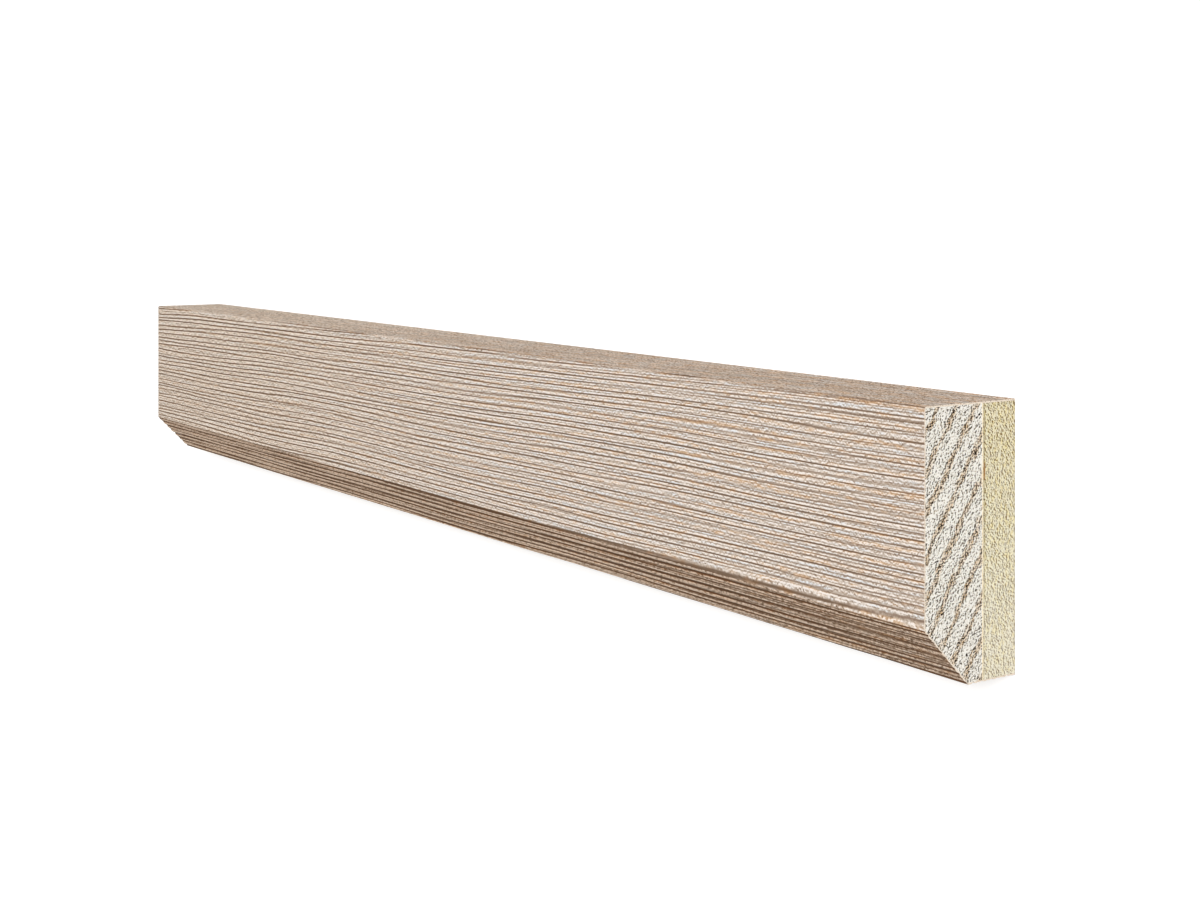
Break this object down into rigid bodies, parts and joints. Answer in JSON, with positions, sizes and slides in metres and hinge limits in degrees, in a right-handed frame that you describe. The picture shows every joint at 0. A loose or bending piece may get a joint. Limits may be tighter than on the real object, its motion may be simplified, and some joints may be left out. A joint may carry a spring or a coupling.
{
  "type": "door cornice moulding",
  "caption": "Straight door cornice moulding: film-wrapped pine and MDF bar with a 45 degree chamfer along its lower front edge and square-cut ends.",
  "frame": {"origin": "centre of the bare back face, which is the face the piece lies on", "axes": "+X along the length, +Y across the face towards the plain top edge, +Z out of the decorative face"},
  "size_m": [0.43, 0.06, 0.028],
  "materials": {
    "pine": "bare sawn softwood end grain, matt",
    "mdf": "bare medium-density fibreboard, matt",
    "film": "embossed wood-effect decor film, matt, streaked along the length"
  },
  "bodies": {
    "root": {"pine_core": "pine", "mdf_backing": "mdf", "decor_film": "film"}
  },
  "joints": []
}
